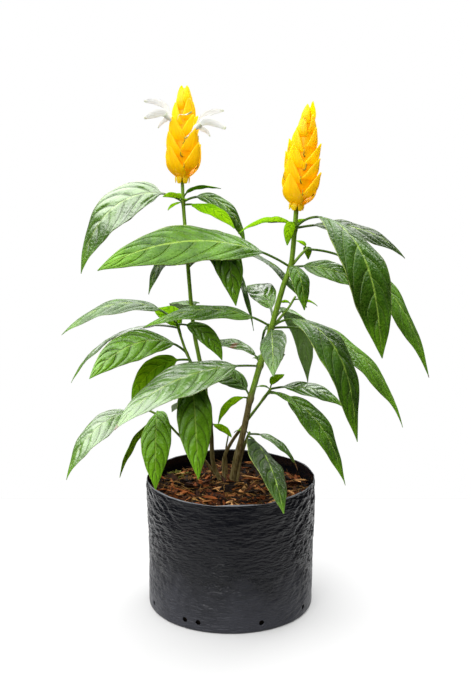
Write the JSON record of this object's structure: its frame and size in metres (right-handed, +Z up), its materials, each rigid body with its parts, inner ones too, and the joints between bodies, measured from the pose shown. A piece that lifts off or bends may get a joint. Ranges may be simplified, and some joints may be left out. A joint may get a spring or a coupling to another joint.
{
  "type": "potted golden shrimp plant",
  "caption": "Potted flowering house plant with upright yellow bract spikes, white flowers and drooping veined leaves, standing in a black nursery grow bag of bark mulch.",
  "frame": {"origin": "Centre of the grow bag's flat base, on the surface that the bag stands on.", "axes": "+Z up out of the bag, -Y towards the viewer of the reference view, +X to that viewer's right."},
  "size_m": [0.4095, 0.2488, 0.5917],
  "materials": {
    "bag_film": "satin black polyethylene film, creased and finely rippled",
    "bark": "shredded bark and coir, rough and matt, red-brown with dark gaps",
    "stem": "semi-woody stems, brown at the foot and olive green above",
    "leaf": "quilted glossy green leaf with sunken veins and a pale thin edge",
    "bract": "waxy golden yellow bracts, satin",
    "petal": "thin white petals, satin"
  },
  "bodies": {
    "root": {"bark_mulch": "bark", "flower_left": "petal", "flower_right": "petal", "grow_bag": "bag_film", "leaf_left_01": "leaf", "leaf_left_02": "leaf", "leaf_left_03": "leaf", "leaf_left_04": "leaf", "leaf_left_05": "leaf", "leaf_left_06": "leaf", "leaf_left_07": "leaf", "leaf_left_08": "leaf", "leaf_left_09": "leaf", "leaf_left_10": "leaf", "leaf_left_11": "leaf", "leaf_left_12": "leaf", "leaf_left_13": "leaf", "leaf_left_14": "leaf", "leaf_left_15": "leaf", "leaf_left_16": "leaf", "leaf_left_17": "leaf", "leaf_low_01": "leaf", "leaf_low_02": "leaf", "leaf_low_03": "leaf", "leaf_middle_01": "leaf", "leaf_middle_02": "leaf", "leaf_middle_03": "leaf", "leaf_offshoot_01": "leaf", "leaf_offshoot_02": "leaf", "leaf_right_01": "leaf", "leaf_right_02": "leaf", "leaf_right_03": "leaf", "leaf_right_04": "leaf", "leaf_right_05": "leaf", "leaf_right_06": "leaf", "leaf_right_07": "leaf", "leaf_right_08": "leaf", "leaf_right_09": "leaf", "leaf_right_10": "leaf", "leaf_right_11": "leaf", "leaf_right_12": "leaf", "leaf_right_13": "leaf", "leaf_right_14": "leaf", "leaf_right_15": "leaf", "leaf_right_16": "leaf", "leaf_right_17": "leaf", "spike_left": "bract", "spike_right": "bract", "stem_left": "stem", "stem_low": "stem", "stem_middle": "stem", "stem_right": "stem", "stem_thin": "stem"}
  },
  "joints": []
}
